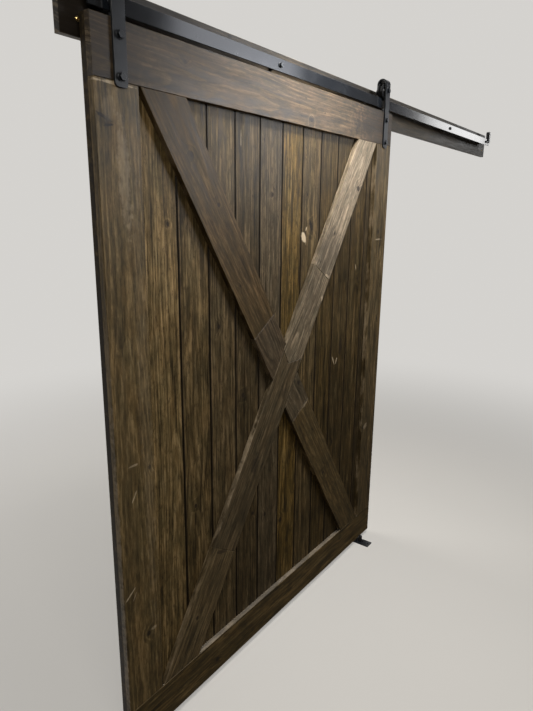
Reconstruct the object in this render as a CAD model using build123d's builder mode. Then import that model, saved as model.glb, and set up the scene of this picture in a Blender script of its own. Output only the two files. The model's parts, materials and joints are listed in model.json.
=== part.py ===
from build123d import *

import os
from math import asin, atan2, cos, degrees, hypot, radians, sin, sqrt, tan

# Sliding barn door with its header board and track, in millimetres.
# X runs along the header, +Y points to its back and +Z is up. The origin is the middle of the header
# board's back face. The door is drawn at the left end of its travel, with its framed front facing -Y.

# Door leaf: a framed front layer on a layer of upright boards
door_width = 1660.0
door_height = 2134.0
frame_thickness = 19.0
panel_thickness = 19.0
rail_height = 140.0
stile_width = 140.0
edge_break = 1.2
seam = 0.4

# X brace: two crossing lines of boards, spliced from shorter lengths.
# Splices are measured along a brace from the crossing. The one at the crossing is a level line with a
# corner to the right, from which it leans up to the left.
brace_width = 140.0
brace_corner_setback = 5.5
falling_head_splice = 260.0
falling_foot_splice = 206.0
rising_head_splice = 459.0
rising_foot_splice = 686.0
middle_splice_above_crossing = 48.0
middle_splice_corner_offset = 18.0
middle_splice_lean = 28.8

# Tongue and groove boards of the panel
board_count = 13
first_board_width = 150.0
last_board_width = 54.7
board_gap = 1.0
board_bevel = 3.0
tongue_thickness = 6.0
tongue_length = 8.0
tongue_play = 0.3

# Header board, with holes for the screws that hold it
header_height = 140.0
header_thickness = 19.0
header_past_track = 52.0
header_hole_inset = 52.0
header_hole_rise = 30.0
header_hole_radius = 2.75

# Track bar, its spacers and its lag bolts. The lag bolts end just inside the header's back face.
track_length = 3240.0
track_height = 40.0
track_thickness = 6.0
track_above_header_middle = 15.6
track_end_hole_inset = 65.0
track_inner_hole_offset = 845.0
steel_edge_break = 0.6
spacer_length = 38.0
spacer_below_wheel = 2.2
lag_radius = 4.0
lag_short_of_wall = 1.0
lag_flange_inside_spacer = 2.0
lag_flange_thickness = 1.6
lag_head_across = 13.0
lag_head_height = 5.6
bolt_play = 0.25

# Wheels
wheel_running_radius = 30.0
wheel_flange_depth = 7.0
wheel_width = 24.0
wheel_above_track = 0.2
wheel_side_room = 5.0
wheel_crown_room = 1.5
groove_play = 1.2
flange_slope = 2.3
wheel_edge_break = 1.5
wheel_dish_depth = 3.0
wheel_hub_wall = 5.0
wheel_rim_wall = 10.5
bearing_outer_radius = 14.0
bearing_inner_radius = 7.5
bearing_width = 12.0
bearing_shoulder = 4.0
bearing_shield_depth = 0.8
bearing_ring_wall = 1.6
running_play = 0.05
axle_radius = 5.0
axle_tube_wall = 1.65
axle_tube_play = 0.3

# Hangers: flat bars bent over the wheels and bolted to the door
hanger_from_left_edge = 82.0
hanger_from_right_edge = 70.0
door_below_track = 16.6
strap_width = 40.0
strap_thickness = 6.0
strap_past_rail = 14.0
strap_corner_radius = 9.0
rear_leg_roundness = 0.95
upper_bolt_below_door_top = 36.0
lower_bolt_above_rail_edge = 10.0
hanger_bolt_radius = 5.0
hexagon_across = 17.0
bolt_head_height = 6.4
washer_radius = 12.0
washer_thickness = 1.6
nut_height = 8.0
bolt_past_nut = 2.0
hexagon_chamfer = 0.8

# End stops on the track
stop_inset = 3.0
stop_length = 24.0
stop_thickness = 22.0
stop_grip = 22.0
stop_above_axle = 16.0
stop_edge_break = 3.0
stop_play = 0.2
bumper_radius = 10.0
bumper_thickness = 7.0
bumper_edge_radius = 2.3
wheel_to_bumper = 1.0
set_screw_radius = 3.0
set_screw_proud = 1.2
set_screw_socket_across = 3.0
set_screw_socket_depth = 3.0

# Discs on the door's top edge that keep the wheels on the track
disc_radius = 14.0
disc_below_track = 4.6
disc_behind_door_front = 15.0
disc_screw_radius = 2.5
disc_screw_depth = 24.0
disc_screw_point = 5.0
disc_screw_head_radius = 5.0
disc_screw_head_height = 2.8
pilot_hole_past_screw = 1.0

# Floor guide: a plate with an upright roller on each side of the door
floor_below_door = 24.0
guide_from_right_edge = 108.0
guide_plate_width = 50.0
guide_plate_front_of_door = 68.0
guide_plate_behind_door = 24.0
guide_plate_thickness = 4.0
guide_plate_corner_radius = 4.0
guide_hole_radius = 2.75
guide_hole_front_of_door = 27.0
guide_hole_spacing = 30.0
roller_radius = 10.0
roller_play = 0.5
roller_end_play = 0.3
roller_height = 28.0
roller_edge_break = 1.0
stud_radius = 4.0
stud_collar_radius = 7.0
stud_collar_height = 1.2
stud_head_height = 2.4

# Depths, from the header's back face forwards
strap_gap = wheel_width + 2 * wheel_side_room
header_front_y = -header_thickness
track_back_y = header_front_y - spacer_length
track_front_y = track_back_y - track_thickness
track_middle_y = track_back_y - track_thickness / 2
door_front_y = track_middle_y - strap_gap / 2
frame_back_y = door_front_y + frame_thickness
door_back_y = frame_back_y + panel_thickness
strap_front_y = door_front_y - strap_thickness
rear_leg_y = door_front_y + strap_gap
strap_rear_y = rear_leg_y + strap_thickness

# Heights
wheel_flange_radius = wheel_running_radius + wheel_flange_depth
track_middle_z = track_above_header_middle
track_top_z = track_middle_z + track_height / 2
track_bottom_z = track_middle_z - track_height / 2
axle_z = track_top_z + wheel_above_track + wheel_running_radius
crown_drop = sqrt((strap_gap / 2 - wheel_crown_room) ** 2 - (wheel_width / 2) ** 2)
crown_z = axle_z + wheel_flange_radius - crown_drop
door_top_z = track_bottom_z - door_below_track
door_bottom_z = door_top_z - door_height
door_middle_z = door_bottom_z + door_height / 2
rail_edge_z = door_top_z - rail_height
strap_bottom_z = rail_edge_z - strap_past_rail
floor_z = door_bottom_z - floor_below_door

# Places along the header. The left stop sets where the closed door stands.
stop_reach = stop_inset + stop_length + bumper_thickness
left_bumper_x = -track_length / 2 + stop_reach
right_bumper_x = track_length / 2 - stop_reach
left_hanger_x = left_bumper_x + wheel_to_bumper + wheel_flange_radius
door_left_x = left_hanger_x - hanger_from_left_edge
door_right_x = door_left_x + door_width
door_middle_x = door_left_x + door_width / 2
right_hanger_x = door_right_x - hanger_from_right_edge
hanger_x = {"left": left_hanger_x, "right": right_hanger_x}
outer_lag_x = track_length / 2 - track_end_hole_inset
lag_places = [-outer_lag_x, -track_inner_hole_offset, 0.0, track_inner_hole_offset, outer_lag_x]
hanger_bolt_heights = [door_top_z - upper_bolt_below_door_top, rail_edge_z + lower_bolt_above_rail_edge]
hanger_bolt_places = [(x, z) for x in hanger_x.values() for z in hanger_bolt_heights]

os.makedirs("parts", exist_ok=True)


def keep(piece, name):
    """Label a finished piece and write it to its own file."""
    piece.part.label = name
    export_step(piece.part, f"parts/{name}.step")


def facing_plane(x, y, z):
    """Plane at a point that faces the front. Its own axes are X and Z."""
    return Plane(origin=(x, y, z), x_dir=(1, 0, 0), z_dir=(0, -1, 0))


def cross_plane(x):
    """Plane across the header at x, for the profile of a bent or slotted piece: its axes are Y and Z."""
    return Plane(origin=(x, track_middle_y, 0), x_dir=(0, 1, 0), z_dir=(1, 0, 0))


def washer_bolt(radius, length, across, head_height, flange_radius, flange_thickness, point):
    """Bolt along +Y, with the underside of its washer at the origin."""
    with BuildPart() as bolt:
        with BuildSketch(Plane.XY):
            with BuildLine():
                Polyline(
                    (0, -flange_thickness),
                    (flange_radius - flange_thickness / 2, -flange_thickness),
                    (flange_radius, -flange_thickness / 2),
                    (flange_radius, 0),
                    (radius, 0),
                    (radius, length - point),
                    (radius - point / 2, length),
                    (0, length),
                    close=True,
                )
            make_face()
        revolve(axis=Axis.Y)
        with BuildSketch(facing_plane(0, -flange_thickness, 0)):
            RegularPolygon(across / 2, 6, major_radius=False)
        extrude(amount=head_height)
        chamfer(bolt.faces().sort_by(Axis.Y)[0].edges(), hexagon_chamfer)
    return bolt.part


def washer_nut(bolt_radius):
    """Nut on its washer along +Y, with the face of the washer at the origin."""
    bore = bolt_radius + running_play
    with BuildPart() as nut:
        with BuildSketch(facing_plane(0, washer_thickness, 0)):
            Circle(washer_radius)
            Circle(bore, mode=Mode.SUBTRACT)
        extrude(amount=washer_thickness)
        with BuildSketch(facing_plane(0, washer_thickness + nut_height, 0)):
            RegularPolygon(hexagon_across / 2, 6, major_radius=False)
            Circle(bore, mode=Mode.SUBTRACT)
        extrude(amount=nut_height)
        chamfer(nut.faces().sort_by(Axis.Y)[-1].outer_wire().edges(), hexagon_chamfer)
    return nut.part


# Rails: they run the full width of the door, over the ends of the stiles
rails = {
    "rail_top": door_top_z - rail_height / 2,
    "rail_bottom": door_bottom_z + rail_height / 2,
}
disc_y = door_front_y + disc_behind_door_front
for name, middle_z in rails.items():
    with BuildPart() as rail:
        with BuildSketch(facing_plane(door_middle_x, frame_back_y, middle_z)):
            Rectangle(door_width, rail_height)
        extrude(amount=frame_thickness)
        chamfer(rail.faces().sort_by(Axis.Y)[0].edges(), edge_break)
        if name == "rail_top":
            with Locations(*[facing_plane(x, door_front_y, z) for x, z in hanger_bolt_places]):
                Hole(hanger_bolt_radius + bolt_play, depth=frame_thickness)
            with Locations(*[(x, disc_y, door_top_z) for x in hanger_x.values()]):
                Hole(disc_screw_radius + running_play, depth=disc_screw_depth + pilot_hole_past_screw)
    keep(rail, name)

# Stiles: upright boards between the rails
opening_height = door_height - 2 * rail_height - 2 * seam
stiles = {
    "stile_left": door_left_x + stile_width / 2,
    "stile_right": door_right_x - stile_width / 2,
}
for name, middle_x in stiles.items():
    with BuildPart() as stile:
        with BuildSketch(facing_plane(middle_x, frame_back_y, door_middle_z)):
            Rectangle(stile_width, opening_height)
        extrude(amount=frame_thickness)
        chamfer(stile.faces().sort_by(Axis.Y)[0].edges(), edge_break)
    keep(stile, name)

# X brace: its angle puts the outer tip of each line into a corner of the frame
opening_width = door_width - 2 * stile_width - 2 * seam
tip_x = opening_width / 2 - brace_corner_setback
tip_z = opening_height / 2
brace_angle = degrees(atan2(tip_z, tip_x) + asin(brace_width / 2 / hypot(tip_x, tip_z)))
brace_reach = hypot(tip_x, tip_z) + brace_width


def brace_length(angle, start, stop, width=brace_width, mode=Mode.ADD):
    """Straight length of board through the crossing, from start to stop along its angle."""
    middle = (start + stop) / 2
    with Locations((middle * cos(radians(angle)), middle * sin(radians(angle)))):
        Rectangle(stop - start, width, rotation=angle, mode=mode)


def above_middle_splice(drop, mode):
    """Side of the middle splice that the upper board fills: over a level line, right of a leaning one."""
    corner = (middle_splice_corner_offset - drop, middle_splice_above_crossing - drop)
    lean_run = brace_reach * tan(radians(middle_splice_lean))
    leaning_end = (corner[0] - lean_run, corner[1] + brace_reach)
    far_side = (brace_reach, corner[1])
    Polygon(corner, far_side, (brace_reach, leaning_end[1]), leaning_end, align=None, mode=mode)


braces = {
    "brace_falling_head": (-brace_angle, -brace_reach, -falling_head_splice - seam / 2),
    "brace_falling_upper": (-brace_angle, -falling_head_splice + seam / 2, 0),
    "brace_falling_lower": (-brace_angle, 0, falling_foot_splice - seam / 2),
    "brace_falling_foot": (-brace_angle, falling_foot_splice + seam / 2, brace_reach),
    "brace_rising_foot": (brace_angle, -brace_reach, -rising_foot_splice - seam / 2),
    "brace_rising_lower": (brace_angle, -rising_foot_splice + seam / 2, rising_head_splice),
    "brace_rising_upper": (brace_angle, -rising_foot_splice, rising_head_splice - seam / 2),
    "brace_rising_head": (brace_angle, rising_head_splice + seam / 2, brace_reach),
}
for name, (angle, start, stop) in braces.items():
    with BuildPart() as brace:
        with BuildSketch(facing_plane(door_middle_x, frame_back_y, door_middle_z)):
            brace_length(angle, start, stop)
            Rectangle(opening_width, opening_height, mode=Mode.INTERSECT)
            if name in ("brace_falling_upper", "brace_falling_lower"):
                brace_length(brace_angle, -brace_reach, brace_reach, brace_width + 2 * seam, Mode.SUBTRACT)
            if name == "brace_rising_lower":
                above_middle_splice(seam, Mode.SUBTRACT)
            if name == "brace_rising_upper":
                above_middle_splice(0, Mode.INTERSECT)
        extrude(amount=frame_thickness)
        chamfer(brace.faces().sort_by(Axis.Y)[0].edges(), edge_break)
    keep(brace, name)

# Panel: upright tongue and groove boards with bevelled joints, behind the frame.
# The boards between the first and the last share the rest of the door's width.
board_pitch = (door_width - first_board_width - last_board_width) / (board_count - 2)
board_joints = [door_left_x + first_board_width + index * board_pitch for index in range(board_count - 1)]
board_middle_y = door_back_y - panel_thickness / 2
groove_depth = tongue_length + board_gap + tongue_play
groove_width = tongue_thickness + 2 * tongue_play
for index in range(board_count):
    has_groove = index > 0
    has_tongue = index < board_count - 1
    left_x = board_joints[index - 1] + board_gap / 2 if has_groove else door_left_x
    right_x = board_joints[index] - board_gap / 2 if has_tongue else door_right_x
    half_width = (right_x - left_x) / 2
    with BuildPart() as board:
        with BuildSketch(Plane((left_x + half_width, board_middle_y, door_bottom_z))) as board_end:
            Rectangle(2 * half_width, panel_thickness)
            if has_groove:
                chamfer(board_end.vertices().group_by(Axis.X)[0], board_bevel)
                with Locations((-half_width + groove_depth / 2, 0)):
                    Rectangle(groove_depth, groove_width, mode=Mode.SUBTRACT)
            if has_tongue:
                chamfer(board_end.vertices().group_by(Axis.X)[-1], board_bevel)
                with Locations((half_width + tongue_length / 2, 0)):
                    Rectangle(tongue_length, tongue_thickness)
        extrude(amount=door_height)
        bores = [facing_plane(x, frame_back_y, z) for x, z in hanger_bolt_places if left_x < x < right_x]
        if bores:
            with Locations(*bores):
                Hole(hanger_bolt_radius + bolt_play, depth=panel_thickness)
    keep(board, f"panel_board_{index + 1:02d}")

# Header board
header_length = track_length + 2 * header_past_track
header_hole_x = header_length / 2 - header_hole_inset
header_holes = [(x, z) for x in (-header_hole_x, header_hole_x) for z in (-header_hole_rise, header_hole_rise)]
with BuildPart() as header_board:
    with BuildSketch(facing_plane(0, 0, 0)):
        Rectangle(header_length, header_height)
    extrude(amount=header_thickness)
    chamfer(header_board.faces().sort_by(Axis.Y)[0].edges(), edge_break)
    with Locations(*[facing_plane(x, header_front_y, track_middle_z) for x in lag_places]):
        Hole(lag_radius + bolt_play, depth=header_thickness)
    with Locations(*[facing_plane(x, header_front_y, z) for x, z in header_holes]):
        Hole(header_hole_radius, depth=header_thickness)
keep(header_board, "header_board")

# Track bar
with BuildPart() as track_bar:
    with BuildSketch(facing_plane(0, track_back_y, track_middle_z)):
        Rectangle(track_length, track_height)
    extrude(amount=track_thickness)
    chamfer(track_bar.edges().filter_by(Axis.X), steel_edge_break)
    with Locations(*[facing_plane(x, track_front_y, track_middle_z) for x in lag_places]):
        Hole(lag_radius + bolt_play, depth=track_thickness)
keep(track_bar, "track_bar")

# Spacers between the header and the track, low enough for the wheels to roll over
spacer_radius = track_height / 2 + wheel_above_track - wheel_flange_depth - spacer_below_wheel
with BuildPart() as track_spacers:
    with BuildSketch(*[facing_plane(x, header_front_y, track_middle_z) for x in lag_places]):
        Circle(spacer_radius)
        Circle(lag_radius + bolt_play, mode=Mode.SUBTRACT)
    extrude(amount=spacer_length)
keep(track_spacers, "track_spacers")

# Lag bolts through the track, its spacers and the header
lag_bolt = washer_bolt(
    lag_radius,
    -track_front_y - lag_short_of_wall,
    lag_head_across,
    lag_head_height,
    spacer_radius - lag_flange_inside_spacer,
    lag_flange_thickness,
    lag_radius,
)
with BuildPart() as track_lag_bolts:
    with Locations(*[(x, track_front_y, track_middle_z) for x in lag_places]):
        add(lag_bolt)
keep(track_lag_bolts, "track_lag_bolts")

# Hangers: the long leg lies on the door's face, the short leg hangs behind the wheel
bend_inner = strap_gap / 2
bend_outer = bend_inner + strap_thickness
rear_end_z = axle_z - strap_width / 2
for side, x in hanger_x.items():
    with BuildPart() as hanger_strap:
        with BuildSketch(cross_plane(x)):
            with BuildLine():
                Line((-bend_inner, crown_z), (-bend_inner, strap_bottom_z))
                Line((-bend_inner, strap_bottom_z), (-bend_outer, strap_bottom_z))
                Line((-bend_outer, strap_bottom_z), (-bend_outer, crown_z))
                ThreePointArc((-bend_outer, crown_z), (0, crown_z + bend_outer), (bend_outer, crown_z))
                Line((bend_outer, crown_z), (bend_outer, rear_end_z))
                Line((bend_outer, rear_end_z), (bend_inner, rear_end_z))
                Line((bend_inner, rear_end_z), (bend_inner, crown_z))
                ThreePointArc((bend_inner, crown_z), (0, crown_z + bend_inner), (-bend_inner, crown_z))
            make_face()
        extrude(amount=strap_width / 2, both=True)
        leg_ends = hanger_strap.edges().filter_by(Axis.Y).group_by(Axis.Z)
        fillet(leg_ends[0], strap_corner_radius)
        fillet(leg_ends[-1], rear_leg_roundness * strap_width / 2)
        chamfer(hanger_strap.faces().sort_by(Axis.Y)[0].edges().filter_by(Axis.Z), steel_edge_break)
        with Locations(facing_plane(x, strap_front_y, axle_z)):
            Hole(axle_radius + bolt_play, depth=2 * bend_outer)
        with Locations(*[facing_plane(x, strap_front_y, z) for z in hanger_bolt_heights]):
            Hole(hanger_bolt_radius + bolt_play, depth=strap_thickness)
    keep(hanger_strap, f"hanger_strap_{side}")

# Hanger bolts in front, and their nuts behind the door
hanger_bolt = washer_bolt(
    hanger_bolt_radius,
    door_back_y - strap_front_y + washer_thickness + nut_height + bolt_past_nut,
    hexagon_across,
    bolt_head_height,
    washer_radius,
    washer_thickness,
    hexagon_chamfer,
)
with BuildPart() as hanger_bolts:
    with Locations(*[(x, strap_front_y, z) for x, z in hanger_bolt_places]):
        add(hanger_bolt)
keep(hanger_bolts, "hanger_bolts")

hanger_nut = washer_nut(hanger_bolt_radius)
with BuildPart() as hanger_nuts:
    with Locations(*[(x, door_back_y, z) for x, z in hanger_bolt_places]):
        add(hanger_nut)
keep(hanger_nuts, "hanger_nuts")

# Axles: a bolt and a nut through each hanger
axle_bolt = washer_bolt(
    axle_radius,
    strap_rear_y - strap_front_y + washer_thickness + nut_height + bolt_past_nut,
    hexagon_across,
    bolt_head_height,
    washer_radius,
    washer_thickness,
    hexagon_chamfer,
)
with BuildPart() as axle_bolts:
    with Locations(*[(x, strap_front_y, axle_z) for x in hanger_x.values()]):
        add(axle_bolt)
keep(axle_bolts, "axle_bolts")

axle_nut = washer_nut(axle_radius)
with BuildPart() as axle_nuts:
    with Locations(*[(x, strap_rear_y, axle_z) for x in hanger_x.values()]):
        add(axle_nut)
keep(axle_nuts, "axle_nuts")

# Sleeves on the axles, clamped between the legs: the bearings turn on them
sleeve_radius = bearing_inner_radius - running_play
with BuildPart() as axle_sleeves:
    with BuildSketch(*[facing_plane(x, rear_leg_y, axle_z) for x in hanger_x.values()]):
        Circle(sleeve_radius)
        Circle(axle_radius + running_play, mode=Mode.SUBTRACT)
    extrude(amount=strap_gap)
keep(axle_sleeves, "axle_sleeves")

# Tubes on the sleeves that keep each wheel in the middle of its hanger
tube_length = (strap_gap - bearing_width) / 2 - axle_tube_play
tube_bore = sleeve_radius + running_play
with BuildPart() as axle_tubes:
    for rear_y in (rear_leg_y, door_front_y + tube_length):
        with BuildSketch(*[facing_plane(x, rear_y, axle_z) for x in hanger_x.values()]):
            Circle(tube_bore + axle_tube_wall)
            Circle(tube_bore, mode=Mode.SUBTRACT)
        extrude(amount=tube_length)
keep(axle_tubes, "axle_tubes")

# Wheels: turned, with a groove for the track, dished sides and a shouldered seat for the bearing
half_wheel = wheel_width / 2
groove_half = track_thickness / 2 + groove_play
dish_inner = bearing_outer_radius + wheel_hub_wall
dish_outer = wheel_flange_radius - wheel_rim_wall
dish_floor = half_wheel - wheel_dish_depth
for side, x in hanger_x.items():
    with BuildPart() as wheel:
        with BuildSketch(Plane(origin=(x, track_middle_y, axle_z), x_dir=(0, 1, 0), z_dir=(1, 0, 0))):
            with BuildLine():
                Polyline(
                    (-half_wheel, bearing_outer_radius),
                    (-half_wheel, dish_inner),
                    (-dish_floor, dish_inner + wheel_edge_break),
                    (-dish_floor, dish_outer - wheel_edge_break),
                    (-half_wheel, dish_outer),
                    (-half_wheel, wheel_flange_radius - wheel_edge_break),
                    (-half_wheel + wheel_edge_break, wheel_flange_radius),
                    (-groove_half - flange_slope, wheel_flange_radius),
                    (-groove_half, wheel_running_radius),
                    (groove_half, wheel_running_radius),
                    (groove_half + flange_slope, wheel_flange_radius),
                    (half_wheel - wheel_edge_break, wheel_flange_radius),
                    (half_wheel, wheel_flange_radius - wheel_edge_break),
                    (half_wheel, dish_outer),
                    (dish_floor, dish_outer - wheel_edge_break),
                    (dish_floor, dish_inner + wheel_edge_break),
                    (half_wheel, dish_inner),
                    (half_wheel, bearing_outer_radius - bearing_shoulder),
                    (bearing_width / 2, bearing_outer_radius - bearing_shoulder),
                    (bearing_width / 2, bearing_outer_radius),
                    close=True,
                )
            make_face()
        revolve(axis=Axis((x, 0, axle_z), (0, 1, 0)))
    keep(wheel, f"wheel_{side}")

    # Ball bearing pressed into the wheel, with a sunk shield on each side
    with BuildPart() as bearing:
        with BuildSketch(facing_plane(x, track_middle_y + bearing_width / 2, axle_z)):
            Circle(bearing_outer_radius)
            Circle(bearing_inner_radius, mode=Mode.SUBTRACT)
        extrude(amount=bearing_width)
        for shield_y in (-bearing_width / 2 + bearing_shield_depth, bearing_width / 2):
            with BuildSketch(facing_plane(x, track_middle_y + shield_y, axle_z)):
                Circle(bearing_outer_radius - bearing_ring_wall)
                Circle(bearing_inner_radius + bearing_ring_wall, mode=Mode.SUBTRACT)
            extrude(amount=bearing_shield_depth, mode=Mode.SUBTRACT)
    keep(bearing, f"wheel_bearing_{side}")

# End stops: blocks slotted over the track, each held by a set screw
stop_top_z = axle_z + stop_above_axle
stop_bottom_z = track_top_z - stop_grip
set_screw_z = track_top_z - stop_grip / 2
stop_front_y = track_middle_y - stop_thickness / 2
stops = {
    "left": (left_bumper_x - bumper_thickness - stop_length / 2, left_bumper_x, 1),
    "right": (right_bumper_x + bumper_thickness + stop_length / 2, right_bumper_x, -1),
}
set_screw_x = [middle_x for middle_x, bumper_x, inward in stops.values()]
for side, (middle_x, bumper_x, inward) in stops.items():
    with BuildPart() as end_stop:
        with BuildSketch(cross_plane(middle_x)):
            with Locations((0, stop_bottom_z)):
                Rectangle(stop_thickness, stop_top_z - stop_bottom_z, align=(Align.CENTER, Align.MIN))
                Rectangle(
                    track_thickness + 2 * stop_play,
                    stop_grip + stop_play,
                    align=(Align.CENTER, Align.MIN),
                    mode=Mode.SUBTRACT,
                )
        extrude(amount=stop_length / 2, both=True)
        chamfer(end_stop.edges().filter_by(Axis.X).group_by(Axis.Z)[-1], stop_edge_break)
        with Locations(facing_plane(middle_x, stop_front_y, set_screw_z)):
            Hole(set_screw_radius + running_play, depth=stop_thickness / 2)
    keep(end_stop, f"end_stop_{side}")

    # Rubber bumper on the side towards the wheel
    with BuildPart() as bumper:
        root = (bumper_x - inward * bumper_thickness, track_middle_y, axle_z)
        with BuildSketch(Plane(origin=root, x_dir=(0, 1, 0), z_dir=(inward, 0, 0))):
            Circle(bumper_radius)
        extrude(amount=bumper_thickness)
        tip = bumper.faces().sort_by_distance((bumper_x, track_middle_y, axle_z))[0]
        fillet(tip.edges(), bumper_edge_radius)
    keep(bumper, f"stop_bumper_{side}")

set_screw_front_y = stop_front_y - set_screw_proud
with BuildPart() as stop_set_screws:
    with BuildSketch(*[facing_plane(x, track_front_y, set_screw_z) for x in set_screw_x]):
        Circle(set_screw_radius)
    extrude(amount=track_front_y - set_screw_front_y)
    with BuildSketch(*[facing_plane(x, set_screw_front_y, set_screw_z) for x in set_screw_x]):
        RegularPolygon(set_screw_socket_across / 2, 6, major_radius=False)
    extrude(amount=-set_screw_socket_depth, mode=Mode.SUBTRACT)
keep(stop_set_screws, "stop_set_screws")

# Discs under the track, screwed to the door's top edge
disc_thickness = door_below_track - disc_below_track
with BuildPart() as anti_jump_discs:
    with BuildSketch(*[Plane((x, disc_y, door_top_z)) for x in hanger_x.values()]):
        Circle(disc_radius)
    extrude(amount=disc_thickness)
    with Locations(*[(x, disc_y, door_top_z + disc_thickness) for x in hanger_x.values()]):
        CounterBoreHole(
            disc_screw_radius + running_play,
            disc_screw_head_radius + bolt_play,
            disc_screw_head_height,
            depth=disc_thickness,
        )
keep(anti_jump_discs, "anti_jump_discs")

with BuildPart() as anti_jump_screws:
    for x in hanger_x.values():
        with BuildSketch(facing_plane(x, disc_y, door_top_z)):
            with BuildLine():
                Polyline(
                    (0, disc_thickness),
                    (disc_screw_head_radius, disc_thickness),
                    (disc_screw_head_radius, disc_thickness - disc_screw_head_height),
                    (disc_screw_radius, disc_thickness - disc_screw_head_height),
                    (disc_screw_radius, -disc_screw_depth + disc_screw_point),
                    (0, -disc_screw_depth),
                    close=True,
                )
            make_face()
        revolve(axis=Axis((x, disc_y, 0), (0, 0, 1)))
keep(anti_jump_screws, "anti_jump_screws")

# Floor guide plate
guide_x = door_right_x - guide_from_right_edge
plate_top_z = floor_z + guide_plate_thickness
plate_front_y = door_front_y - guide_plate_front_of_door
plate_back_y = door_back_y + guide_plate_behind_door
guide_hole_y = door_front_y - guide_hole_front_of_door
roller_y = {
    "front": door_front_y - roller_play - roller_radius,
    "back": door_back_y + roller_play + roller_radius,
}
with BuildPart() as guide_plate:
    with BuildSketch(Plane((guide_x, (plate_front_y + plate_back_y) / 2, floor_z))):
        RectangleRounded(guide_plate_width, plate_back_y - plate_front_y, guide_plate_corner_radius)
    extrude(amount=guide_plate_thickness)
    chamfer(guide_plate.faces().sort_by(Axis.Z)[-1].edges(), steel_edge_break)
    with Locations(*[(guide_x, y, plate_top_z) for y in (guide_hole_y, guide_hole_y - guide_hole_spacing)]):
        Hole(guide_hole_radius, depth=guide_plate_thickness)
    with Locations(*[(guide_x, y, plate_top_z) for y in roller_y.values()]):
        Hole(stud_radius + running_play, depth=guide_plate_thickness)
keep(guide_plate, "guide_plate")

# Guide studs: each has its foot in the plate, a collar under the roller and a flat head over it
collar_top_z = plate_top_z + stud_collar_height
roller_bottom_z = collar_top_z + roller_end_play
stud_head_z = roller_bottom_z + roller_height + roller_end_play
with BuildPart() as guide_studs:
    for y in roller_y.values():
        with BuildSketch(facing_plane(guide_x, y, 0)):
            with BuildLine():
                Polyline(
                    (0, floor_z + running_play),
                    (stud_radius, floor_z + running_play),
                    (stud_radius, plate_top_z),
                    (stud_collar_radius, plate_top_z),
                    (stud_collar_radius, collar_top_z),
                    (stud_radius, collar_top_z),
                    (stud_radius, stud_head_z),
                    (stud_collar_radius, stud_head_z),
                    (stud_collar_radius, stud_head_z + stud_head_height / 2),
                    (stud_collar_radius - stud_head_height / 2, stud_head_z + stud_head_height),
                    (0, stud_head_z + stud_head_height),
                    close=True,
                )
            make_face()
        revolve(axis=Axis((guide_x, y, 0), (0, 0, 1)))
keep(guide_studs, "guide_studs")

# Guide rollers
for side, y in roller_y.items():
    with BuildPart() as guide_roller:
        with BuildSketch(Plane((guide_x, y, roller_bottom_z))):
            Circle(roller_radius)
        extrude(amount=roller_height)
        chamfer(guide_roller.edges().filter_by(GeomType.CIRCLE), roller_edge_break)
        with Locations((guide_x, y, roller_bottom_z + roller_height)):
            Hole(stud_radius + running_play, depth=roller_height)
    keep(guide_roller, f"guide_roller_{side}")

door_travel = right_bumper_x - wheel_to_bumper - wheel_flange_radius - right_hanger_x
print(f"Door travel {door_travel:.1f} mm")
print(f"Axle height {axle_z:.1f} mm, floor {floor_z:.1f} mm, guide at x {guide_x:.1f} mm")
print(f"Hangers at x {left_hanger_x:.1f} and {right_hanger_x:.1f} mm")
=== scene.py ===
import json
import math
from typing import NamedTuple

import bmesh
import bpy
from bpy.props import FloatProperty, FloatVectorProperty, IntProperty, PointerProperty
from bpy.types import Operator, Panel, PropertyGroup
from mathutils import Matrix, Vector


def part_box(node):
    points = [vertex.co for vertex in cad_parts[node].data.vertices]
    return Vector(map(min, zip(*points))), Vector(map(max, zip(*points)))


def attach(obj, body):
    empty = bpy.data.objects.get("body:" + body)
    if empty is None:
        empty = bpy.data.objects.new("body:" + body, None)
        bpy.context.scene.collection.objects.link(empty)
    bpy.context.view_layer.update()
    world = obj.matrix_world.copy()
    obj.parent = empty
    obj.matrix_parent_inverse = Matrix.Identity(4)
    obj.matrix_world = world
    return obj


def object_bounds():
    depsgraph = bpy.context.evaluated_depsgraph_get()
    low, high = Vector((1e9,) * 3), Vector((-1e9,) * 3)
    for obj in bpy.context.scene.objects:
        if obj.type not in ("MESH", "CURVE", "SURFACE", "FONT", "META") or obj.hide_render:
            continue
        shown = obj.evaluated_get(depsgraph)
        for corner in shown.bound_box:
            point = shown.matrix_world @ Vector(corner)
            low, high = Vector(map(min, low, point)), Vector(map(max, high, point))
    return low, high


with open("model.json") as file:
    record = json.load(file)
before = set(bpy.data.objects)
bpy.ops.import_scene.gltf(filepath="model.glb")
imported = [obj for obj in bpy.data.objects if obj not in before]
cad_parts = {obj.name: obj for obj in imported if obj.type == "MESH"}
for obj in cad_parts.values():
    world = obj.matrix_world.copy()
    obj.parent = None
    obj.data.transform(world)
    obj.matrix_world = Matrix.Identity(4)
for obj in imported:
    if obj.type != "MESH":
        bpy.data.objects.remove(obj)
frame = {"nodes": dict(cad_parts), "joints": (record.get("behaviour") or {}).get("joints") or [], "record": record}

bl_info = {
    "name": "Sliding Barn Door",
    "version": (1, 0, 0),
    "blender": (4, 5, 0),
    "location": "3D View > Sidebar > Barn Door",
    "description": "Stained boards, coated steel, screws and a studio for a sliding barn door on its track",
    "category": "Object",
}

# The door and its header, in metres: X along the header, +Y towards its back, +Z up
cad_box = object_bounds()
nodes = frame["nodes"]
mounts = {mount["name"]: mount for mount in frame["record"]["mounts"]}
joints = {joint["name"]: joint for joint in frame["joints"]}
mm = 0.001


def middle_of(name):
    """Middle of one solid's box."""
    low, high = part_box(name)
    return (low + high) / 2


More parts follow.
